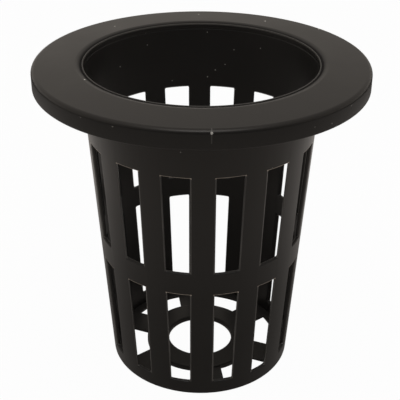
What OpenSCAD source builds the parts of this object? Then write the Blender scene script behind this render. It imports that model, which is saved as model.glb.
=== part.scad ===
// Net cup for a hydroponic planter: a one-piece moulded basket that hangs by its lip in a round hole.
// It is drawn as the features of that moulding, which meet face to face and share one tapered wall line.
// The cup stands on z = 0 with its axis on Z. A stave of the wall faces the front, which is -Y.

/* [Lip] */
// How far the lip stands out from the wall, all round
lip_overhang = 9.75; // [7:0.25:12]
// Thickness of the flange at its outer edge
lip_t = 1; // [1:0.1:1.6]
// How far the flange's top falls from the mouth to its outer edge
lip_fall = 0.3; // [0.1:0.1:0.5]
// Height of the lip, from the bottom of its skirt to the top of the mouth
lip_h = 4.3; // [3:0.1:7]
// Thickness of the turned-down skirt
skirt_t = 1.2; // [0.8:0.1:2]
// Radius of the lip's outer top edge
lip_edge_r = 0.7; // [0.3:0.1:0.9]
// Width and height of the long round that leads into the mouth
mouth_edge_w = 1.7; // [0.5:0.1:2.2]
mouth_edge_h = 0.8; // [0.3:0.1:1]
// How far the bore opens out inside the flange, below that round
mouth_flare = 0.2; // [0.05:0.05:0.4]
// Radius of the skirt's two bottom edges
skirt_edge_r = 0.3; // [0.1:0.05:0.35]

/* [Wall] */
// Height of the whole cup
cup_h = 71.3; // [66:0.1:90]
// Outer diameter that the tapered wall reaches at the top of the cup
wall_top_d = 50.5; // [48:0.1:54]
// Outer diameter of the wall at the base
wall_foot_d = 41.2; // [40:0.1:46]
// Thickness of the wall
wall_t = 0.9; // [0.6:0.05:1.2]
// Radius of the outer edge round the base
foot_edge_r = 0.5; // [0.2:0.05:0.55]

/* [Slots] */
// Slots round the wall in each tier
slots_per_tier = 14; // [10:2:18]
// Height of the solid band below the lower slots
foot_band_h = 3.6; // [2:0.1:6]
// Height of the lower slots
lower_slot_h = 24; // [18:0.1:26]
// Height of the hoop between the tiers
hoop_h = 5.5; // [3:0.1:7]
// Height of the upper slots
upper_slot_h = 22.7; // [18:0.1:24]
// How much higher the top of a slot is on the inside, because it slants up through the wall
slot_top_rise = 0.7; // [0:0.1:0.9]
// Width of a stave between two slots, across its outer face
stave_w = 5.1; // [4:0.1:5.6]
// How much wider a stave is where two of the mould's slides meet
corner_extra_w = 0.8; // [0:0.1:1.2]

/* [Floor] */
// Thickness of the spokes and of the ledge round the floor
floor_t = 0.75; // [0.6:0.05:1]
// Width of the ledge, from the wall in to the floor's openings
ledge_w = 1.8; // [0.5:0.05:3]
// Diameter of the round drain hole
drain_d = 15; // [10:0.1:17]
// Width of the ring round the drain hole
drain_ring_w = 5.2; // [3:0.1:6]
// Thickness of the ring round the drain hole
drain_ring_t = 1.2; // [1.1:0.05:1.6]
// Radius of the drain ring's inner top edge
drain_edge_r = 0.5; // [0.1:0.05:0.6]
// Radius of the drain ring's outer top edge
drain_rim_r = 0.3; // [0.1:0.05:0.4]
// Spokes that carry the drain ring
spoke_count = 6; // [3:1:8]
// Width of a spoke
spoke_w = 6.2; // [3:0.1:7]
// Turn of the first spoke from the front, in degrees
spoke_turn = 7; // [-30:1:30]

/* [Hidden] */
$fn = 96;
plastic = [0.13, 0.125, 0.12];

// How far a cutter runs past what it cuts
overrun = 1;

// Heights of the flat planes where one feature of the moulding ends and the next begins
hoop_z = foot_band_h + lower_slot_h;
upper_slot_z = hoop_z + hoop_h;
collar_z = upper_slot_z + upper_slot_h;
rim_top_z = cup_h - lip_fall;
flange_z = rim_top_z - lip_t;
skirt_z = cup_h - lip_h;

slot_pitch = 360 / slots_per_tier;
spoke_pitch = 360 / spoke_count;

function two_figures(i) = i < 10 ? str("0", i) : str(i);
function upper_name(i) = str("upper_stave_", two_figures(i));
function lower_name(i) = str("lower_stave_", two_figures(i));
function spoke_name(i) = str("floor_spoke_", i);

// Outer and inner radius of the tapered wall at a height
function wall_r(z) = (wall_foot_d + (wall_top_d - wall_foot_d) * z / cup_h) / 2;
function bore_r(z) = wall_r(z) - wall_t;

lip_r = wall_r(cup_h) + lip_overhang;
drain_r = drain_d / 2;
drain_ring_r = drain_r + drain_ring_w;
floor_opening_r = bore_r(0) - ledge_w;

// Azimuths count from the front, -Y, towards +X. Stave 1 faces the front and slot 1 follows it.
function stave_azimuth(i) = (i - 1) * slot_pitch;
function slot_azimuth(i) = (i - 0.5) * slot_pitch;

// Slides of the mould open the slots in four pulls, to the front, the back and the two sides.
// Each slot's flanks lie along the pull that is nearest to its own direction.
function pull_azimuth(i) = 90 * round(slot_azimuth(i) / 90);

// A stave is wider where the slots on its two sides have different pulls
function stave_width(i) = stave_w + (pull_azimuth(i - 1) == pull_azimuth(i) ? 0 : corner_extra_w);

// Azimuth of a slot's edge at a height: side is -1 for its edge on stave i and 1 for its edge on the next stave
function edge_azimuth(i, side, z) =
    let(half_width = stave_width(side < 0 ? i : i + 1) / 2)
    slot_azimuth(i) + side * (slot_pitch / 2 - asin(half_width / wall_r(z)));

// Distance of a slot's edge from the upright plane through the axis along its pull
function edge_offset(i, side, z) = wall_r(z) * sin(edge_azimuth(i, side, z) - pull_azimuth(i));

// The same distance on the straight line through its values at z0 and z1, which may run past both
function flank_offset(i, side, z0, z1, z) =
    let(at_z0 = edge_offset(i, side, z0), at_z1 = edge_offset(i, side, z1))
    at_z0 + (at_z1 - at_z0) * (z - z0) / (z1 - z0);

// Turns what is drawn towards the front to an azimuth
module face_towards(azimuth) {
    rotate([0, 0, azimuth])
        children();
}

// Quarter of a disc that rounds a section's corner, from the round's centre towards that corner
module quarter_disc(centre_r, centre_z, r, towards_r, towards_z) {
    translate([centre_r, centre_z])
        intersection() {
            circle(r);
            translate([min(towards_r, 0) * r, min(towards_z, 0) * r])
                square(r);
        }
}

// Section of the tapered wall between two heights, each with its rise towards the inside
module wall_section(z0, z1, rise0, rise1) {
    polygon([
        [bore_r(z0 + rise0), z0 + rise0],
        [wall_r(z0), z0],
        [wall_r(z1), z1],
        [bore_r(z1 + rise1), z1 + rise1]
    ]);
}

// The slide that opens slot i between two heights, straight along its pull from the axis outwards
module slot_slide(i, z0, z1) {
    low = z0 - overrun;
    high = z1 + overrun;
    face_towards(pull_azimuth(i))
        rotate([90, 0, 0])
            linear_extrude(wall_r(cup_h) + overrun)
                polygon([
                    [flank_offset(i, -1, z0, z1, low), low],
                    [flank_offset(i, 1, z0, z1, low), low],
                    [flank_offset(i, 1, z0, z1, high), high],
                    [flank_offset(i, -1, z0, z1, high), high]
                ]);
}

// Stave i of a tier: what the slides of the slots on its two sides leave of the wall
module stave(i, z0, z1) {
    color(plastic)
        difference() {
            face_towards(stave_azimuth(i) - slot_pitch / 2 - 90)
                rotate_extrude(angle = slot_pitch)
                    wall_section(z0, z1, 0, slot_top_rise);
            slot_slide(i - 1, z0, z1);
            slot_slide(i, z0, z1);
        }
}

// The flange, from the mouth's long round out to the lip's rounded edge, with a top that falls a little outwards
module lip_flange() {
    edge_z = rim_top_z - lip_edge_r;
    mouth_z = cup_h - min(mouth_edge_h, lip_t);
    mouth_r = bore_r(flange_z) + mouth_flare;
    edge_round = [for (k = [0:9]) [
        lip_r - lip_edge_r * (1 - cos(10 * k)),
        edge_z + lip_edge_r * sin(10 * k)
    ]];
    mouth_round = [for (k = [12:-1:0]) [
        mouth_r + mouth_edge_w * (1 - cos(7.5 * k)),
        mouth_z + (cup_h - mouth_z) * sin(7.5 * k)
    ]];
    color(plastic)
        rotate_extrude()
            polygon(concat(
                [[bore_r(flange_z), flange_z], [lip_r, flange_z]],
                edge_round,
                mouth_round
            ));
}

// The skirt that turns down from the flange's edge, open underneath, with both bottom edges rounded
module lip_skirt() {
    inner_r = lip_r - skirt_t;
    edge_z = skirt_z + skirt_edge_r;
    color(plastic)
        rotate_extrude() {
            polygon([
                [inner_r, edge_z],
                [inner_r + skirt_edge_r, skirt_z],
                [lip_r - skirt_edge_r, skirt_z],
                [lip_r, edge_z],
                [lip_r, flange_z],
                [inner_r, flange_z]
            ]);
            quarter_disc(inner_r + skirt_edge_r, edge_z, skirt_edge_r, -1, -1);
            quarter_disc(lip_r - skirt_edge_r, edge_z, skirt_edge_r, 1, -1);
        }
}

// The solid band of wall from the upper slots to the flange
module collar() {
    color(plastic)
        rotate_extrude()
            wall_section(collar_z, flange_z, slot_top_rise, 0);
}

module middle_hoop() {
    color(plastic)
        rotate_extrude()
            wall_section(hoop_z, upper_slot_z, slot_top_rise, 0);
}

// The band of wall below the lower slots, with its bottom edge rounded
module foot_band() {
    color(plastic)
        rotate_extrude() {
            polygon([
                [bore_r(0), 0],
                [wall_r(foot_edge_r) - foot_edge_r, 0],
                [wall_r(foot_edge_r), foot_edge_r],
                [wall_r(foot_band_h), foot_band_h],
                [bore_r(foot_band_h), foot_band_h]
            ]);
            quarter_disc(wall_r(foot_edge_r) - foot_edge_r, foot_edge_r, foot_edge_r, 1, -1);
        }
}

// The ledge round the floor, from the openings out to the wall
module floor_ledge() {
    color(plastic)
        rotate_extrude()
            polygon([
                [floor_opening_r, 0],
                [bore_r(0), 0],
                [bore_r(floor_t), floor_t],
                [floor_opening_r, floor_t]
            ]);
}

// Spoke i, between the drain ring and the ledge
module floor_spoke(i) {
    color(plastic)
        face_towards(spoke_turn + (i - 1) * spoke_pitch)
            difference() {
                intersection() {
                    cylinder(h = floor_t, r = floor_opening_r);
                    translate([-spoke_w / 2, -floor_opening_r - overrun, 0])
                        cube([spoke_w, floor_opening_r + overrun, floor_t]);
                }
                translate([0, 0, -overrun])
                    cylinder(h = floor_t + 2 * overrun, r = drain_ring_r);
            }
}

// The ring round the drain hole, thicker than the spokes and rounded along both top edges
module drain_ring() {
    edge_z = drain_ring_t - drain_edge_r;
    rim_z = drain_ring_t - drain_rim_r;
    color(plastic)
        rotate_extrude() {
            polygon([
                [drain_r, 0],
                [drain_ring_r, 0],
                [drain_ring_r, rim_z],
                [drain_ring_r - drain_rim_r, drain_ring_t],
                [drain_r + drain_edge_r, drain_ring_t],
                [drain_r, edge_z]
            ]);
            quarter_disc(drain_r + drain_edge_r, edge_z, drain_edge_r, -1, 1);
            quarter_disc(drain_ring_r - drain_rim_r, rim_z, drain_rim_r, 1, 1);
        }
}

lip_flange();
lip_skirt();
collar();
for (i = [1:slots_per_tier])
    stave(i, upper_slot_z, collar_z);
middle_hoop();
for (i = [1:slots_per_tier])
    stave(i, foot_band_h, hoop_z);
foot_band();
floor_ledge();
for (i = [1:spoke_count])
    floor_spoke(i);
drain_ring();
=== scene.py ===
# %% [markdown]
# # A net cup for a hydroponic planter
# The real object is a single moulding in black polypropylene. A wide flat lip hangs it in a round hole, a
# tapered wall with two tiers of slots lets the roots out, and a ring on six spokes makes the floor.
# The construction file gives the solids and their sizes. This notebook loads them as a fixed frame, and
# builds the surfaces that the eye sees on them: rounded lip, fine broken edges on every slot, satin plastic.

# %% Load the frame
import math

import bpy
from mathutils import Matrix, Vector


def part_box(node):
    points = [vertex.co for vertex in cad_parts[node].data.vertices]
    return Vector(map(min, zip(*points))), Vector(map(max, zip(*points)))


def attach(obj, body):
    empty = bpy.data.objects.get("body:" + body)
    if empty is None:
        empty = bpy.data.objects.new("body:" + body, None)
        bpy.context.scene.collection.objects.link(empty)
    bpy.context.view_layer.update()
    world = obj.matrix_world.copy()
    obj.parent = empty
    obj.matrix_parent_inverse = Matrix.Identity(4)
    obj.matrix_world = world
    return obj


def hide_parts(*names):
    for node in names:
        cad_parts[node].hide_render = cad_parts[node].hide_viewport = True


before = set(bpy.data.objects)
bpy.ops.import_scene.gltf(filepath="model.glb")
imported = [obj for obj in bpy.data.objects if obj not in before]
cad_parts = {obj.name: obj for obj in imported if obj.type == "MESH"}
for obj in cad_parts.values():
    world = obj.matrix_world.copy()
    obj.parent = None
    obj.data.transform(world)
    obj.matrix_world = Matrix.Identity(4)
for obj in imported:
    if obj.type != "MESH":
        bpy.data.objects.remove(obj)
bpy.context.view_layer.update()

scene = bpy.context.scene
MM = 0.001

# %% [markdown]
# ## Sizes
# Heights and radii are read from the boxes of the solids, so that the surfaces follow the construction file.
# Thicknesses and edge radii can't be read from a box, so they are written here in millimetres, and the wall's
# line is a straight line through two of its outer radii. All lengths in this notebook are millimetres until
# the last moment, when a mesh is scaled to metres.

# %% Read the planes of the moulding
cup_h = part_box("lip_flange")[1].z / MM
flange_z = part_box("lip_flange")[0].z / MM
skirt_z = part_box("lip_skirt")[0].z / MM
collar_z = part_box("collar")[0].z / MM
upper_slot_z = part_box("middle_hoop")[1].z / MM
hoop_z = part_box("middle_hoop")[0].z / MM
foot_band_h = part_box("foot_band")[1].z / MM
lip_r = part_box("lip_flange")[1].x / MM
planes = (foot_band_h, hoop_z, upper_slot_z, collar_z, skirt_z, flange_z, cup_h)
print("planes:", [round(z, 2) for z in planes])

# %% Draw the tapered wall's line
WALL_T = 0.9
WALL_FOOT_R = 20.6
WALL_TOP_R = 25.25


def wall_r(z):
    """The wall's outer radius at a height."""
    return WALL_FOOT_R + (WALL_TOP_R - WALL_FOOT_R) * z / cup_h


def bore_r(z):
    """The wall's inner radius at a height."""
    return wall_r(z) - WALL_T


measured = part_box("middle_hoop")[1].x / MM
print("hoop radius: drawn", round(wall_r(upper_slot_z), 3), "solid", round(measured, 3))

# %% Name the sizes of slots and floor
SLOTS_PER_TIER = 14
PULLS = 4
STAVE_W = 5.1
CORNER_EXTRA_W = 0.8
SPOKES = 6
SPOKE_W = 6.2
SPOKE_TURN = 7.0
floor_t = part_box("floor_ledge")[1].z / MM
ring_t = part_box("drain_ring")[1].z / MM
ring_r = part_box("drain_ring")[1].x / MM
DRAIN_R = 7.5
OPENING_R = 17.9
print("floor:", round(floor_t, 2), "ring:", round(ring_t, 2), "thick,", round(ring_r, 2), "outer radius")

# %% Name the sizes of the lip
LIP_EDGE_R = 0.9
LIP_FALL = 0.3
SKIRT_T = 1.2
SKIRT_EDGE_R = 0.3
MOUTH_DROP = 0.8
MOUTH_FLARE = 0.1
BEAD_AT_R = 24.52
BEAD_AT_Z = cup_h - 0.24
BEAD_R = 0.12
GROOVE_R = 24.68
GROOVE_H = 0.36
GROOVE_END_R = 26.2
print("bead round the mouth:", BEAD_AT_R, "mm from the axis, at height", round(BEAD_AT_Z, 2))

# %% [markdown]
# ## Camera
# The photograph looks down on the cup at about 29 degrees. Its place, turn and focal length were worked out
# from the ellipses of the lip, the hole and the slot corners. A camera is set most safely by its own three
# axes: right, up and the backward axis, which are the columns of its matrix. Last, the camera is carried
# round the cup by a degree, because the stave at the front stands a little to one side in the photograph.

# %% Place the camera
IMAGE_PX = 400
FOCAL_PX = 922.2
CAMERA_D = 181.2
CAMERA_Z = 136.8
PITCH = math.radians(28.55)
YAW = math.radians(-0.06)
ROLL = math.radians(0.305)
STAVE_TURN = math.radians(-1.1)

forward = Vector((math.sin(YAW) * math.cos(PITCH), math.cos(YAW) * math.cos(PITCH), -math.sin(PITCH)))
level_right = Vector((math.cos(YAW), -math.sin(YAW), 0.0))
level_up = level_right.cross(forward)
right = level_right * math.cos(ROLL) + level_up * math.sin(ROLL)
up = level_up * math.cos(ROLL) - level_right * math.sin(ROLL)
camera_axes = Matrix((right, up, -forward)).transposed().to_4x4()
camera_place = Matrix.Translation(Vector((0.0, -CAMERA_D, CAMERA_Z)) * MM)
camera_data = bpy.data.cameras.new("camera")
camera_data.sensor_width = 36.0
camera_data.lens = FOCAL_PX / IMAGE_PX * camera_data.sensor_width
camera_data.clip_start = 0.01
camera = bpy.data.objects.new("camera", camera_data)
camera.matrix_world = Matrix.Rotation(STAVE_TURN, 4, "Z") @ camera_place @ camera_axes
scene.collection.objects.link(camera)
scene.camera = camera
camera_at = [round(value / MM, 1) for value in camera.matrix_world.translation]
print("lens:", round(camera_data.lens, 1), "mm at", camera_at)

# %% [markdown]
# ## Helpers for node trees
# A node tree is clearest when each line adds one node and says what feeds it. The first helper adds a node,
# sets its options, and then fills each input: a socket is linked, and anything else becomes its value.
# The others stand for the sums that come again and again.

# %% Add a node
def add_node(tree, kind, feeds=None, **options):
    """Adds one node. The feeds fill its inputs: a socket is linked, anything else becomes the value."""
    made = tree.nodes.new(kind)
    for name, value in options.items():
        setattr(made, name, value)
    for key, value in (feeds or {}).items():
        if isinstance(value, bpy.types.NodeSocket):
            tree.links.new(value, made.inputs[key])
        else:
            made.inputs[key].default_value = value
    return made


def calc(tree, operation, *values):
    """One sum of up to three values."""
    feeds = {number: value for number, value in enumerate(values)}
    return add_node(tree, "ShaderNodeMath", feeds, operation=operation).outputs[0]


def product(tree, first, *others):
    """All the values multiplied."""
    for value in others:
        first = calc(tree, "MULTIPLY", first, value)
    return first


def within(tree, value, low, high):
    """1 where the value lies between low and high, else 0."""
    off_middle = calc(tree, "ABSOLUTE", calc(tree, "SUBTRACT", value, (low + high) / 2))
    return calc(tree, "LESS_THAN", off_middle, (high - low) / 2)


def remap(tree, value, low, high, at_low, at_high, **options):
    """Goes from at_low to at_high while the value goes from low to high."""
    feeds = {"Value": value, "From Min": low, "From Max": high, "To Min": at_low, "To Max": at_high}
    return add_node(tree, "ShaderNodeMapRange", feeds, **options).outputs["Result"]


def soft_remap(tree, value, low, high, at_low, at_high):
    """The same, with a gentle start and end."""
    return remap(tree, value, low, high, at_low, at_high, interpolation_type="SMOOTHSTEP")


def blend(tree, share, first, second):
    """A colour that goes from the first to the second as the share goes from 0 to 1."""
    feeds = {"Factor": share, 6: first, 7: second}
    return add_node(tree, "ShaderNodeMix", feeds, data_type="RGBA").outputs[2]


def axis_distance(tree, parts):
    """How far a place is from the cup's axis."""
    level_place = add_node(tree, "ShaderNodeCombineXYZ", {"X": parts["X"], "Y": parts["Y"]}).outputs["Vector"]
    return add_node(tree, "ShaderNodeVectorMath", {0: level_place}, operation="LENGTH").outputs["Value"]


print("helpers ready")

# %% [markdown]
# ## Black satin plastic
# The cup is dyed through with carbon black. Its surface copies the mould: satin, with a very fine grain and
# a slow ripple that bends reflections a little. Dust shows on black plastic as a few pale specks, on the flat
# lip and on the collar.
# The moulding also keeps traces of how it was made. A pale dot on the front of the lip is the gate, where
# the plastic flowed in, and the faint line under it is where the mould closed. Round the mouth runs a fine
# bead behind a groove that stays matt, and the bead's top is painted pale as a painted highlight.
# All of it reads Object coordinates, so the pattern stays on the cup whatever the view.

# %% Start the plastic
PLASTIC = (0.0106, 0.0100, 0.0095, 1.0)
PLASTIC_IOR = 1.49
SHEEN = 0.25
SHEEN_TINT = (1.0, 0.95, 0.90, 1.0)
plastic = bpy.data.materials.new("cup_plastic")
plastic.use_nodes = True
tree = plastic.node_tree
tree.nodes.clear()
place = add_node(tree, "ShaderNodeTexCoord").outputs["Object"]
where = add_node(tree, "ShaderNodeSeparateXYZ", {"Vector": place}).outputs
radius = axis_distance(tree, where)
shader = add_node(tree, "ShaderNodeBsdfPrincipled", {"IOR": PLASTIC_IOR, "Specular Tint": SHEEN_TINT})
add_node(tree, "ShaderNodeOutputMaterial", {"Surface": shader.outputs["BSDF"]})
print("shader:", shader.name)

# %% Give it slow colour changes
mottle = add_node(tree, "ShaderNodeTexNoise", {"Vector": place, "Scale": 90.0, "Detail": 3.0}).outputs["Fac"]
darker = [0.85 * part for part in PLASTIC[:3]] + [1.0]
paler = [1.15 * part for part in PLASTIC[:3]] + [1.0]
colour = blend(tree, mottle, darker, paler)
print("black from", [round(part, 4) for part in darker[:3]], "to", [round(part, 4) for part in paler[:3]])

# %% Scatter the dust specks
DUST = (0.45, 0.43, 0.40, 1.0)
COLLAR_DUST_SHARE = 0.5
LIP_TOP_DEPTH = 0.4


def specks(cell_scale, size, rarity, low, high, **options):
    """1 in small dots scattered over the heights from low to high in mm, else 0."""
    cells = add_node(tree, "ShaderNodeTexVoronoi", {"Vector": place, "Scale": cell_scale}, **options)
    near = calc(tree, "LESS_THAN", cells.outputs["Distance"], size)
    pick = add_node(tree, "ShaderNodeSeparateColor", {"Color": cells.outputs["Color"]}).outputs["Red"]
    chosen = calc(tree, "GREATER_THAN", pick, rarity)
    return product(tree, near, chosen, within(tree, where["Z"], low * MM, high * MM))


lip_dust = specks(260.0, 0.045, 0.94, cup_h - LIP_TOP_DEPTH, cup_h + LIP_TOP_DEPTH, voronoi_dimensions="2D")
collar_dust = specks(500.0, 0.07, 0.75, collar_z, flange_z)
dust = calc(tree, "MAXIMUM", lip_dust, product(tree, collar_dust, COLLAR_DUST_SHARE))
colour = blend(tree, dust, colour, DUST)
print("specks on the lip above", round(cup_h - LIP_TOP_DEPTH, 2), "mm")
print("specks on the collar above", round(collar_z, 2), "mm")

# %% Mark the gate and the line where the mould closed
MARK = (0.30, 0.29, 0.27, 1.0)
GATE = Vector((1.16, -34.86, 70.4))
GATE_R = 0.26
LINE_HALF_W = 0.09
LINE_FOOT_Z = 68.4
LINE_SHARE = 0.12
FRONT_Y = -34.0
line_x = within(tree, where["X"], (GATE.x - LINE_HALF_W) * MM, (GATE.x + LINE_HALF_W) * MM)
in_front = calc(tree, "LESS_THAN", where["Y"], FRONT_Y * MM)
above_foot = calc(tree, "GREATER_THAN", where["Z"], LINE_FOOT_Z * MM)
line = product(tree, line_x, in_front, above_foot, LINE_SHARE)
gate_off = add_node(tree, "ShaderNodeVectorMath", {0: place, 1: GATE * MM}, operation="DISTANCE").outputs
dot = calc(tree, "LESS_THAN", gate_off["Value"], GATE_R * MM)
colour = blend(tree, calc(tree, "MAXIMUM", line, dot), colour, MARK)
print("gate at", [round(value, 2) for value in GATE], "mm")

# %% Paint a highlight on the bead and leave the groove matt
# A pale colour painted along the bead's top, as the highlight that it catches.
BEAD_HIGHLIGHT = (0.056, 0.053, 0.049, 1.0)
BEAD_HIGHLIGHT_SLACK = 0.02
MATT_END_R = 25.0
SATIN_START_R = 26.0
MOUTH_DEPTH = 0.45
near_top = calc(tree, "GREATER_THAN", where["Z"], (cup_h - MOUTH_DEPTH) * MM)
bead_highlight_half_w = BEAD_R + BEAD_HIGHLIGHT_SLACK
on_bead = within(tree, radius, (BEAD_AT_R - bead_highlight_half_w) * MM, (BEAD_AT_R + bead_highlight_half_w) * MM)
colour = blend(tree, product(tree, on_bead, near_top), colour, BEAD_HIGHLIGHT)
tree.links.new(colour, shader.inputs["Base Color"])
matt_ring = soft_remap(tree, radius, MATT_END_R * MM, SATIN_START_R * MM, 1.0, 0.0)
sheen = remap(tree, product(tree, matt_ring, near_top), 0.0, 1.0, SHEEN, 0.0)
tree.links.new(sheen, shader.inputs["Specular IOR Level"])
print("matt inside radius", MATT_END_R, "and satin outside", SATIN_START_R)

# %% Vary the gloss and add the grain
grain = add_node(tree, "ShaderNodeTexNoise", {"Vector": place, "Scale": 3200.0, "Detail": 2.0})
ripple = add_node(tree, "ShaderNodeTexNoise", {"Vector": place, "Scale": 260.0, "Detail": 2.0})
roughness = remap(tree, mottle, 0.0, 1.0, 0.32, 0.44)
tree.links.new(roughness, shader.inputs["Roughness"])

feeds = {"Height": grain.outputs["Fac"], "Strength": 0.25, "Distance": 0.01 * MM}
grain_bump = add_node(tree, "ShaderNodeBump", feeds)
feeds = {"Height": ripple.outputs["Fac"], "Strength": 0.30, "Distance": 0.03 * MM}
ripple_bump = add_node(tree, "ShaderNodeBump", {"Normal": grain_bump.outputs["Normal"], **feeds})
tree.links.new(ripple_bump.outputs["Normal"], shader.inputs["Normal"])
print("nodes in the plastic:", len(tree.nodes))

# %% [markdown]
# ## Painted edge highlights
# Along every slot the thin broken edge is painted paler than the faces, as a painted highlight where the
# edge catches the light. It is palest along the tops of the slots, which face down and get the painted
# reflection of the table. The sills, and the edges on the inside, keep the plain black.
# It is a finish of its own, used only on the broken edges, and heights and radii tell it where it is.

# %% Find the outer edges, the slot tops and the sills
# Pale colours painted on the outer broken edges as a highlight, palest on the slot tops as a painted
# reflection.
EDGE_HIGHLIGHT = (0.085, 0.080, 0.074, 1.0)
SLOT_TOP_HIGHLIGHT = (0.48, 0.41, 0.34, 1.0)
EDGE_REACH = 0.4
EDGE_SLACK = 0.02
edge_highlight_plastic = bpy.data.materials.new("painted_edge_highlight")
edge_highlight_plastic.use_nodes = True
tree = edge_highlight_plastic.node_tree
tree.nodes.clear()
place = add_node(tree, "ShaderNodeTexCoord").outputs["Object"]
where = add_node(tree, "ShaderNodeSeparateXYZ", {"Vector": place}).outputs
radius = axis_distance(tree, where)
wall_line = calc(tree, "MULTIPLY_ADD", where["Z"], (WALL_TOP_R - WALL_FOOT_R) / cup_h, WALL_FOOT_R * MM)
outer = calc(tree, "GREATER_THAN", calc(tree, "SUBTRACT", radius, wall_line), -0.5 * WALL_T * MM)


def edge_band(z, below, above):
    """1 in the heights from that far below z to that far above it, in mm, else 0."""
    return within(tree, where["Z"], (z - below) * MM, (z + above) * MM)


slot_tops = [edge_band(z, EDGE_SLACK, EDGE_REACH) for z in (hoop_z, collar_z)]
sills = [edge_band(z, EDGE_REACH, EDGE_SLACK) for z in (foot_band_h, upper_slot_z)]
print("slot tops at", round(hoop_z, 1), round(collar_z, 1))
print("sills at", round(foot_band_h, 1), round(upper_slot_z, 1))

# %% Mix the painted edge highlight
# Noise only breaks up the strength of the painted highlight along the edges.
highlight_noise = add_node(tree, "ShaderNodeTexNoise", {"Vector": place, "Scale": 140.0, "Detail": 2.0}).outputs["Fac"]
highlight_share = remap(tree, highlight_noise, 0.35, 0.65, 0.5, 1.0)
not_sill = calc(tree, "SUBTRACT", 1.0, calc(tree, "MAXIMUM", *sills))
highlight_tone = blend(tree, calc(tree, "MAXIMUM", *slot_tops), EDGE_HIGHLIGHT, SLOT_TOP_HIGHLIGHT)
edge_highlight_colour = blend(tree, product(tree, outer, not_sill, highlight_share), PLASTIC, highlight_tone)
feeds = {"Base Color": edge_highlight_colour, "IOR": PLASTIC_IOR, "Specular IOR Level": SHEEN, "Roughness": 0.38}
shader = add_node(tree, "ShaderNodeBsdfPrincipled", feeds)
add_node(tree, "ShaderNodeOutputMaterial", {"Surface": shader.outputs["BSDF"]})
print("edge finish nodes:", len(tree.nodes))

# %% [markdown]
# ## One rule for the wall and the floor
# Both are a sheet with slots: bands go all the way round, and between them the sheet is cut into strips.
# The wall has 14 staves between its bands, and the floor has 6 spokes between its ledge and its ring.
# So one Geometry Nodes tree makes both. Its input is a section: a row of points, each with a front place and
# a back place, and a mark where the strip between it and the next point is slotted.
# The tree lays a grid round the axis, drops the faces of the slots, and thickens what is left.
# A slot's flanks don't point at the axis. The mould opens them with slides that pull straight out to the
# front, the back and the two sides, so the back edge of a flank is shifted along its slide's pull. A stave
# that stands between two slides is a little wider than the others.

# %% Begin the tree and name its inputs
sheet_tree = bpy.data.node_groups.new("slotted_sheet", "GeometryNodeTree")
sheet_tree.interface.new_socket("Geometry", in_out="INPUT", socket_type="NodeSocketGeometry")
for label, kind in (
    ("Strips", "NodeSocketInt"),
    ("Strip Width", "NodeSocketFloat"),
    ("Corner Extra", "NodeSocketFloat"),
    ("Turn", "NodeSocketFloat"),
    ("Strip Steps", "NodeSocketInt"),
    ("Gap Steps", "NodeSocketInt"),
    ("Pulls", "NodeSocketInt"),
    ("Material", "NodeSocketMaterial"),
):
    sheet_tree.interface.new_socket(label, in_out="INPUT", socket_type=kind)
sheet_tree.interface.new_socket("Geometry", in_out="OUTPUT", socket_type="NodeSocketGeometry")
given = add_node(sheet_tree, "NodeGroupInput").outputs
print("inputs:", [socket.name for socket in given if socket.name])

# %% Lay a grid with one row for each point of the section
T = sheet_tree
section = given["Geometry"]
counts = add_node(T, "GeometryNodeAttributeDomainSize", {"Geometry": section}, component="MESH").outputs
rows = counts["Point Count"]
steps = calc(T, "ADD", given["Strip Steps"], given["Gap Steps"])
columns = calc(T, "MULTIPLY", given["Strips"], steps)
across = calc(T, "ADD", columns, 1.0)
grid = add_node(T, "GeometryNodeMeshGrid", {"Vertices X": across, "Vertices Y": rows}).outputs["Mesh"]
index = add_node(T, "GeometryNodeInputIndex").outputs["Index"]
column = calc(T, "FLOOR", calc(T, "DIVIDE", index, rows))
row = calc(T, "SUBTRACT", index, calc(T, "MULTIPLY", column, rows))
strip = calc(T, "FLOOR", calc(T, "DIVIDE", column, steps))
step = calc(T, "SUBTRACT", column, calc(T, "MULTIPLY", strip, steps))
print("grid nodes:", len(T.nodes))


# %% Read the section's front and back at a row
def read_section(value, at_row, kind):
    """What the section's point of that row has as this value."""
    feeds = {"Geometry": section, "Value": value, "Index": at_row}
    return add_node(T, "GeometryNodeSampleIndex", feeds, data_type=kind, domain="POINT").outputs["Value"]


def stored(label, kind):
    """A value that is kept on the points under a name."""
    named = add_node(T, "GeometryNodeInputNamedAttribute", {"Name": label}, data_type=kind)
    return named.outputs["Attribute"]


front_at = add_node(T, "GeometryNodeInputPosition").outputs["Position"]
front = add_node(T, "ShaderNodeSeparateXYZ", {"Vector": read_section(front_at, row, "FLOAT_VECTOR")}).outputs
back_read = read_section(stored("back", "FLOAT_VECTOR"), row, "FLOAT_VECTOR")
back = add_node(T, "ShaderNodeSeparateXYZ", {"Vector": back_read}).outputs
print("section read as", front["X"].name, "for radius and", front["Z"].name, "for height")

# %% Work out where a strip's edge lies
pitch = calc(T, "DIVIDE", 2.0 * math.pi, given["Strips"])
pull_pitch = calc(T, "DIVIDE", 2.0 * math.pi, given["Pulls"])


def pull_number(middle, side):
    """Which slide cuts the slot on that side of a strip."""
    slot = calc(T, "MULTIPLY_ADD", pitch, 0.5 * side, middle)
    return calc(T, "ROUND", calc(T, "DIVIDE", slot, pull_pitch))


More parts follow.
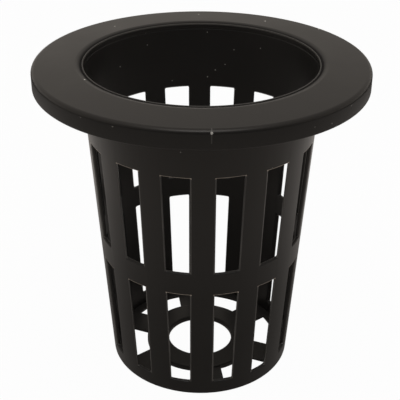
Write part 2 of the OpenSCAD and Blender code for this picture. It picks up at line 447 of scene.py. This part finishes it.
def edge_turn(strip_number, side, radius):
    """How far round a strip's edge lies at a radius, when its flank follows the slide's pull."""
    middle = calc(T, "MULTIPLY", strip_number, pitch)
    corner = calc(T, "SUBTRACT", pull_number(middle, 1.0), pull_number(middle, -1.0))
    width = calc(T, "MULTIPLY_ADD", corner, given["Corner Extra"], given["Strip Width"])
    half_turn = calc(T, "ARCSINE", calc(T, "DIVIDE", calc(T, "MULTIPLY", width, 0.5), front["X"]))
    edge = calc(T, "MULTIPLY_ADD", half_turn, side, middle)
    pull = calc(T, "MULTIPLY", pull_number(middle, side), pull_pitch)
    off_pull = calc(T, "MULTIPLY", front["X"], calc(T, "SINE", calc(T, "SUBTRACT", edge, pull)))
    return calc(T, "ADD", pull, calc(T, "ARCSINE", calc(T, "DIVIDE", off_pull, radius)))


print("edge rule ready")


# %% Spread the columns over strips and gaps
def between(first, last, share):
    """Goes from first to last as the share goes from 0 to 1."""
    return calc(T, "MULTIPLY_ADD", calc(T, "SUBTRACT", last, first), share, first)


strip_share = calc(T, "DIVIDE", step, given["Strip Steps"])
gap_share = calc(T, "DIVIDE", calc(T, "SUBTRACT", step, given["Strip Steps"]), given["Gap Steps"])
past_strip = calc(T, "GREATER_THAN", step, given["Strip Steps"])
next_strip = calc(T, "ADD", strip, 1.0)


def place_on(surface):
    """Where the grid's points go on the sheet's front or back."""
    radius = surface["X"]
    before = edge_turn(strip, -1.0, radius)
    after = edge_turn(strip, 1.0, radius)
    following = edge_turn(next_strip, -1.0, radius)
    turned = between(between(before, after, strip_share), between(after, following, gap_share), past_strip)
    turned = calc(T, "ADD", turned, given["Turn"])
    x = calc(T, "MULTIPLY", radius, calc(T, "SINE", turned))
    y = calc(T, "MULTIPLY", radius, calc(T, "MULTIPLY", calc(T, "COSINE", turned), -1.0))
    return add_node(T, "ShaderNodeCombineXYZ", {"X": x, "Y": y, "Z": surface["Z"]}).outputs["Vector"]


feeds = {"Geometry": grid, "Name": "front", "Value": place_on(front)}
marked = add_node(T, "GeometryNodeStoreNamedAttribute", feeds, data_type="FLOAT_VECTOR", domain="POINT")
feeds = {"Geometry": marked.outputs["Geometry"], "Position": place_on(back)}
laid = add_node(T, "GeometryNodeSetPosition", feeds)
print("nodes so far:", len(T.nodes))

# %% Drop the faces of the slots
face_rows = calc(T, "SUBTRACT", rows, 1.0)
face_column = calc(T, "FLOOR", calc(T, "DIVIDE", index, face_rows))
face_row = calc(T, "SUBTRACT", index, calc(T, "MULTIPLY", face_column, face_rows))
face_strip = calc(T, "FLOOR", calc(T, "DIVIDE", face_column, steps))
face_step = calc(T, "SUBTRACT", face_column, calc(T, "MULTIPLY", face_strip, steps))
last_step = calc(T, "SUBTRACT", given["Strip Steps"], 0.5)
in_gap = calc(T, "GREATER_THAN", face_step, last_step)
slotted = read_section(stored("slotted", "FLOAT"), face_row, "FLOAT")
open_face = calc(T, "MULTIPLY", in_gap, slotted)
feeds = {"Geometry": laid.outputs["Geometry"], "Selection": open_face}
cut = add_node(T, "GeometryNodeDeleteGeometry", feeds, domain="FACE", mode="ALL")
MERGE_M = 0.001 * MM
feeds = {"Geometry": cut.outputs["Geometry"], "Distance": MERGE_M}
base = add_node(T, "GeometryNodeMergeByDistance", feeds).outputs["Geometry"]
print("nodes so far:", len(T.nodes))

# %% Thicken the sheet from its back to its front
# How far the faces are raised doesn't matter, because they are put on the front right after.
feeds = {"Mesh": base, "Offset Scale": 0.5 * MM, "Individual": False}
raised = add_node(T, "GeometryNodeExtrudeMesh", feeds, mode="FACES").outputs
feeds = {"Geometry": raised["Mesh"], "Selection": raised["Top"], "Position": stored("front", "FLOAT_VECTOR")}
thick = add_node(T, "GeometryNodeSetPosition", feeds).outputs["Geometry"]
turned_back = add_node(T, "GeometryNodeFlipFaces", {"Mesh": base}).outputs["Mesh"]
joined = add_node(T, "GeometryNodeJoinGeometry", {"Geometry": thick})
T.links.new(turned_back, joined.inputs["Geometry"])
feeds = {"Geometry": joined.outputs["Geometry"], "Distance": MERGE_M}
closed = add_node(T, "GeometryNodeMergeByDistance", feeds).outputs["Geometry"]
smooth = add_node(T, "GeometryNodeSetShadeSmooth", {"Geometry": closed}).outputs["Geometry"]
real = add_node(T, "GeometryNodeRealizeInstances", {"Geometry": smooth}).outputs["Geometry"]
dressed = add_node(T, "GeometryNodeSetMaterial", {"Geometry": real, "Material": given["Material"]})
add_node(T, "NodeGroupOutput", {"Geometry": dressed.outputs["Geometry"]})
print("nodes in the tree:", len(T.nodes))


# %% [markdown]
# ## Finish a piece
# A moulded edge is never a knife edge: steel wears and plastic shrinks, so each edge is broken by about a
# quarter of a millimetre. That thin line is what catches the light round every slot. A Bevel modifier makes
# it and can give it a finish of its own, and a Weighted Normal modifier keeps the wide faces evenly shaded
# beside it. Then the evaluated mesh is kept as plain mesh and the modifiers go.

# %% Write the finishing steps
PLAIN = 0
# The finish number of the painted edge highlight.
PAINTED_HIGHLIGHT_FINISH = 1


def keep_result(piece):
    """Replaces the piece's mesh by what its modifiers make of it."""
    bpy.context.view_layer.update()
    depsgraph = bpy.context.evaluated_depsgraph_get()
    made = bpy.data.meshes.new_from_object(
        piece.evaluated_get(depsgraph), preserve_all_data_layers=True, depsgraph=depsgraph
    )
    piece.modifiers.clear()
    piece.data = made


def shade_evenly(piece):
    """Lets the wide faces set the shading beside them."""
    even = piece.modifiers.new("even shading", "WEIGHTED_NORMAL")
    even.weight = 90


def break_edges(piece, width, finish):
    """Bevels the sharp edges to that width in mm and gives them the finish of that number."""
    bevel = piece.modifiers.new("broken edges", "BEVEL")
    bevel.material = finish
    bevel.width = width * MM
    bevel.segments = 3
    bevel.limit_method = "ANGLE"
    bevel.angle_limit = math.radians(35)
    bevel.use_clamp_overlap = False
    shade_evenly(piece)


def report(piece):
    """Prints the piece's size and its faces."""
    sides = [[corner[axis] / MM for corner in piece.bound_box] for axis in range(3)]
    size = [round(max(side) - min(side), 2) for side in sides]
    highlit = sum(face.material_index == PAINTED_HIGHLIGHT_FINISH for face in piece.data.polygons)
    print(piece.name, "size", size, "faces", len(piece.data.polygons), "of them burnished", highlit)


print("finishing steps ready")


# %% Write the step from a section to a slotted sheet
def slotted_sheet(name, points, strips, widths, turn, steps, edge, finish):
    """Each point is (front radius, front height, back radius, back height, slotted) in mm, one row each.
    The widths are a strip's own and what a strip between two slides has more. The steps are how many faces
    go across a strip and across a gap. The edge is the width of its broken edges, and the finish is the one
    that they get."""
    mesh = bpy.data.meshes.new(name)
    corners = [(point[0] * MM, 0.0, point[1] * MM) for point in points]
    mesh.from_pydata(corners, [(i, i + 1) for i in range(len(corners) - 1)], [])
    mesh.attributes.new("back", "FLOAT_VECTOR", "POINT")
    mesh.attributes.new("slotted", "FLOAT", "POINT")
    for i, (front_r, front_z, back_r, back_z, slotted_here) in enumerate(points):
        mesh.attributes["back"].data[i].vector = (back_r * MM, 0.0, back_z * MM)
        mesh.attributes["slotted"].data[i].value = slotted_here
    piece = bpy.data.objects.new(name, mesh)
    scene.collection.objects.link(piece)
    rule = piece.modifiers.new("slotted sheet", "NODES")
    rule.node_group = sheet_tree
    values = {
        "Strips": strips,
        "Strip Width": widths[0] * MM,
        "Corner Extra": widths[1] * MM,
        "Turn": math.radians(turn),
        "Strip Steps": steps[0],
        "Gap Steps": steps[1],
        "Pulls": PULLS,
        "Material": plastic,
    }
    for item in sheet_tree.interface.items_tree:
        if item.in_out == "INPUT" and item.name in values:
            rule[item.identifier] = values[item.name]
    keep_result(piece)
    piece.data.materials.clear()
    for finish_at in (plastic, edge_highlight_plastic):
        piece.data.materials.append(finish_at)
    for face in piece.data.polygons:
        face.material_index = PLAIN
    break_edges(piece, edge, finish)
    keep_result(piece)
    report(piece)
    return piece


print("sheet step ready")

# %% [markdown]
# ## The wall
# Collar, staves, hoop and foot band are one continuous cone of plastic, 0.9 mm thick, that widens upwards.
# Its bottom edge is rounded where it stands. Its top runs up into the lip, so that no gap shows there.
# The top of each slot slants upwards through the wall, so that the slide draws out of it with ease.

# %% Draw the wall's section
FOOT_EDGE_R = 0.5
FOOT_BACK_RISE = 0.05
SLOT_TOP_RISE = 0.7
INSIDE_LIP = 0.4
foot_centre = wall_r(FOOT_EDGE_R) - FOOT_EDGE_R
wall_points = []
for i in range(7):
    angle = math.radians(15 * i)
    r = foot_centre + FOOT_EDGE_R * math.sin(angle)
    z = FOOT_EDGE_R - FOOT_EDGE_R * math.cos(angle)
    back_z = z + FOOT_BACK_RISE
    wall_points.append((r, z, bore_r(back_z), back_z, 0))
for z, rise, cut in (
    (foot_band_h, 0.0, 1),
    (hoop_z, SLOT_TOP_RISE, 0),
    (upper_slot_z, 0.0, 1),
    (collar_z, SLOT_TOP_RISE, 0),
    (skirt_z, 0.0, 0),
):
    wall_points.append((wall_r(z), z, bore_r(z + rise), z + rise, cut))
inside_lip_z = flange_z + INSIDE_LIP
wall_points.append((wall_r(inside_lip_z), inside_lip_z, bore_r(flange_z), flange_z, 0))
print("points in the wall's section:", len(wall_points))

# %% Make the wall
WALL_EDGE_W = 0.28
WALL_STEPS = (6, 10)
stave_widths = (STAVE_W, CORNER_EXTRA_W)
# The wall's broken edges get the painted highlight finish.
basket_wall = slotted_sheet(
    "basket_wall", wall_points, SLOTS_PER_TIER, stave_widths, 0.0, WALL_STEPS, WALL_EDGE_W, PAINTED_HIGHLIGHT_FINISH
)

# %% [markdown]
# ## The floor
# Six spokes carry a thicker ring round the drain hole. The section runs inwards: ledge, spokes, step up to
# the ring, rounded top edges, hole. The ledge's outer end lies inside the wall, so the two join cleanly.

# %% Draw the floor's section
LEDGE_END_R = 20.1
RING_RIM_R = 0.3
RING_EDGE_R = 0.5
RING_BACK_STEP = 0.05
DRAIN_BACK_STEP = 0.06
floor_points = [
    (LEDGE_END_R, floor_t, LEDGE_END_R, 0.0, 0),
    (OPENING_R, floor_t, OPENING_R, 0.0, 1),
    (ring_r, floor_t, ring_r, 0.0, 0),
]
# The flat underside has as many points as the rounded top, a small step apart from each other.
for i in range(6):
    angle = math.radians(18 * i)
    r = ring_r - RING_RIM_R * (1 - math.cos(angle))
    z = ring_t - RING_RIM_R * (1 - math.sin(angle))
    floor_points.append((r, z, ring_r - RING_BACK_STEP - RING_BACK_STEP * i, 0.0, 0))
for i in range(7):
    angle = math.radians(15 * i)
    r = DRAIN_R + RING_EDGE_R * (1 - math.sin(angle))
    z = ring_t - RING_EDGE_R * (1 - math.cos(angle))
    floor_points.append((r, z, DRAIN_R + DRAIN_BACK_STEP * (6 - i), 0.0, 0))
print("points in the floor's section:", len(floor_points))

# %% Make the floor
FLOOR_EDGE_W = 0.15
FLOOR_STEPS = (10, 14)
spoke_widths = (SPOKE_W, 0.0)
cup_floor = slotted_sheet(
    "cup_floor", floor_points, SPOKES, spoke_widths, SPOKE_TURN, FLOOR_STEPS, FLOOR_EDGE_W, PLAIN
)

# %% [markdown]
# ## The lip
# The lip is turned round the axis like a pot: a section of points is swept in a full circle. Its top falls
# a third of a millimetre outwards, so that water runs off. Its outer edge is a quarter round that runs into a
# turned-down skirt, and the skirt is hollow underneath. At the mouth the top dips into a shallow groove and
# ends in a bead a quarter of a millimetre wide, where the core of the mould met the plate.
# A lathe is the shortest way to draw all that.

# %% Round a corner of the section
def arc(centre_r, centre_z, radius, start, end, steps):
    """Points of the section along a round corner, from a start to an end in degrees."""
    turns = [math.radians(start + (end - start) * i / steps) for i in range(steps + 1)]
    return [(centre_r + radius * math.cos(turn), centre_z + radius * math.sin(turn)) for turn in turns]


mouth_r = bore_r(flange_z) + MOUTH_FLARE
GROOVE_STEPS = 12
GROOVE_POWER = 1.6
UNDERSIDE_R = 0.4
ROOT_IN = 0.4
ROOT_DEPTH = 0.5
lip_points = [(bore_r(flange_z), flange_z), (mouth_r, cup_h - MOUTH_DROP), (BEAD_AT_R - BEAD_R, BEAD_AT_Z)]
lip_points += arc(BEAD_AT_R, BEAD_AT_Z, BEAD_R, 165, 15, 10)
for step in range(1, GROOVE_STEPS + 1):
    share = step / GROOVE_STEPS
    r = GROOVE_R + share * (GROOVE_END_R - GROOVE_R)
    lip_points.append((r, cup_h - GROOVE_H * (1 - share) ** GROOVE_POWER))
lip_points += arc(lip_r - LIP_EDGE_R, cup_h - LIP_FALL - LIP_EDGE_R, LIP_EDGE_R, 90, 0, 10)
lip_points += arc(lip_r - SKIRT_EDGE_R, skirt_z + SKIRT_EDGE_R, SKIRT_EDGE_R, 0, -90, 5)
lip_points += arc(lip_r - SKIRT_T + SKIRT_EDGE_R, skirt_z + SKIRT_EDGE_R, SKIRT_EDGE_R, -90, -180, 5)
lip_points += arc(lip_r - SKIRT_T - UNDERSIDE_R, flange_z - UNDERSIDE_R, UNDERSIDE_R, 0, 90, 5)
lip_points += arc(wall_r(flange_z) + UNDERSIDE_R, flange_z - UNDERSIDE_R, UNDERSIDE_R, 90, 180, 5)
# The last point lies inside the wall, so that no gap shows between the two.
lip_points += [(bore_r(flange_z) + ROOT_IN, flange_z - ROOT_DEPTH)]
print("points in the lip's section:", len(lip_points))


# %% Sweep it round the axis
def sweep(name, points, steps):
    """Sweeps a closed section, given clockwise from the axis outwards, in a full circle."""
    places = []
    for i in range(steps):
        turn = 2 * math.pi * i / steps
        places += [(r * math.sin(turn) * MM, -r * math.cos(turn) * MM, z * MM) for r, z in points]
    count = len(points)
    faces = []
    for i in range(steps):
        here = i * count
        there = (i + 1) % steps * count
        for j in range(count):
            k = (j + 1) % count
            faces.append((here + j, here + k, there + k, there + j))
    mesh = bpy.data.meshes.new(name)
    mesh.from_pydata(places, [], faces)
    mesh.shade_smooth()
    mesh.materials.append(plastic)
    piece = bpy.data.objects.new(name, mesh)
    scene.collection.objects.link(piece)
    return piece


LIP_STEPS = 288
lip = sweep("lip", lip_points, LIP_STEPS)
shade_evenly(lip)
keep_result(lip)
report(lip)

# %% [markdown]
# ## Hand the pieces to the frame
# Each piece rides on the one body, and the solids whose place it takes are hidden.

# %% Tie the pieces to the frame
numbers = range(1, SLOTS_PER_TIER + 1)
staves = [f"{tier}_stave_{number:02d}" for tier in ("upper", "lower") for number in numbers]
spokes = [f"floor_spoke_{number}" for number in range(1, SPOKES + 1)]
for piece, stands_for in (
    (lip, ["lip_flange", "lip_skirt"]),
    (basket_wall, ["collar", "middle_hoop", "foot_band"] + staves),
    (cup_floor, ["floor_ledge", "drain_ring"] + spokes),
):
    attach(piece, "root")
    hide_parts(*stands_for)
    print(piece.name, "stands for", len(stands_for), "solids")

# %% [markdown]
# ## Floor and light
# The cup stands on a plain white table in soft light. The camera sees the table as white paper, and it still
# takes the cup's own soft shadow. Reflections in the plastic see the same paper lit as a pool: dim close to
# the cup, white round it, and dark further off. Black plastic shows its shape mostly by such reflections.
# The room is a warm grey that darkens towards the front and is brightest low down at the back. A wide panel
# hangs over the cup and a small one hangs in front. Only the small one is mirrored, as a thin highlight
# along the lip's edge.

# %% Lay the table
PAPER = (0.4, 0.4, 0.4, 1.0)
WHITE = (1.0, 1.0, 1.0, 1.0)
POOL_LIGHT = (1.0, 0.93, 0.87, 1.0)
SEEN_SHARE = 0.97
POOL_START_R = 30
POOL_R = 125
POOL_END_R = 215
TABLE_DROP = 0.02
bpy.ops.mesh.primitive_plane_add(size=3.0, location=(0.0, 0.0, -TABLE_DROP * MM))
table = bpy.context.object
table.name = "table"
paper = bpy.data.materials.new("white_paper")
paper.use_nodes = True
tree = paper.node_tree
tree.nodes.clear()
rays = add_node(tree, "ShaderNodeLightPath").outputs
mirrored = calc(tree, "MAXIMUM", rays["Is Glossy Ray"], rays["Is Transmission Ray"])
share = product(tree, rays["Is Camera Ray"], SEEN_SHARE)
matt = add_node(tree, "ShaderNodeBsdfDiffuse", {"Color": PAPER}).outputs["BSDF"]
bright = add_node(tree, "ShaderNodeEmission", {"Color": WHITE, "Strength": 1.0}).outputs["Emission"]
seen = add_node(tree, "ShaderNodeMixShader", {0: share, 1: matt, 2: bright}).outputs["Shader"]

on_table = add_node(tree, "ShaderNodeTexCoord").outputs["Object"]
away = add_node(tree, "ShaderNodeVectorMath", {0: on_table}, operation="LENGTH").outputs["Value"]
near_cup = soft_remap(tree, away, POOL_START_R * MM, POOL_R * MM, 0.30, 1.0)
far_off = soft_remap(tree, away, POOL_R * MM, POOL_END_R * MM, 1.0, 0.05)
feeds = {"Color": POOL_LIGHT, "Strength": product(tree, near_cup, far_off)}
pool = add_node(tree, "ShaderNodeEmission", feeds).outputs["Emission"]
mixed = add_node(tree, "ShaderNodeMixShader", {0: mirrored, 1: seen, 2: pool})
add_node(tree, "ShaderNodeOutputMaterial", {"Surface": mixed.outputs["Shader"]})
table.data.materials.append(paper)
print("table:", table.dimensions[:])

# %% Light the room
ROOM_LIGHT = (1.0, 0.92, 0.83, 1.0)
world = bpy.data.worlds.new("room")
scene.world = world
world.use_nodes = True
tree = world.node_tree
tree.nodes.clear()
rays = add_node(tree, "ShaderNodeLightPath").outputs
direction = add_node(tree, "ShaderNodeTexCoord").outputs["Generated"]
sky = add_node(tree, "ShaderNodeSeparateXYZ", {"Vector": direction}).outputs
towards_front = calc(tree, "MULTIPLY", sky["Y"], -1.0)
back_to_front = soft_remap(tree, towards_front, 0.3, 0.85, 0.50, 0.03)
left_to_right = remap(tree, sky["X"], -0.2, 0.2, 1.19, 0.89)
near_horizon = soft_remap(tree, sky["Z"], 0.02, 0.20, 0.6, 0.0)
not_front = soft_remap(tree, towards_front, -0.1, 0.5, 1.0, 0.0)
level = calc(tree, "MULTIPLY_ADD", near_horizon, not_front, product(tree, back_to_front, left_to_right))
room = add_node(tree, "ShaderNodeBackground", {"Color": ROOM_LIGHT, "Strength": level}).outputs[0]
backdrop = add_node(tree, "ShaderNodeBackground", {"Color": WHITE, "Strength": 0.985}).outputs[0]
mixed = add_node(tree, "ShaderNodeMixShader", {0: rays["Is Camera Ray"], 1: room, 2: backdrop})
add_node(tree, "ShaderNodeOutputWorld", {"Surface": mixed.outputs["Shader"]})
print("nodes in the room:", len(tree.nodes))


# %% Hang the panels
def panel(name, place_at, width, depth, watts, in_mirror):
    """Hangs a lamp that looks at the cup. Sizes and place are in metres."""
    data = bpy.data.lights.new(name, "AREA")
    data.shape = "RECTANGLE"
    data.size = width
    data.size_y = depth
    data.energy = watts
    lamp = bpy.data.objects.new(name, data)
    lamp.location = place_at
    lamp.rotation_euler = (PANEL_AIM - Vector(place_at)).to_track_quat("-Z", "Y").to_euler()
    lamp.visible_glossy = in_mirror
    scene.collection.objects.link(lamp)
    print(name, "gives", watts, "W over", width, "by", depth, "m")


PANEL_AIM = Vector((0.0, 0.0, 0.04))
panel("top_panel", (0.0, 0.05, 0.75), 0.7, 0.7, 3.8, False)
panel("front_box", (0.0, -0.36, 0.72), 0.36, 0.26, 2.2, True)

# %% Set the view transform
scene.view_settings.view_transform = "Standard"
print("view transform:", scene.view_settings.view_transform)
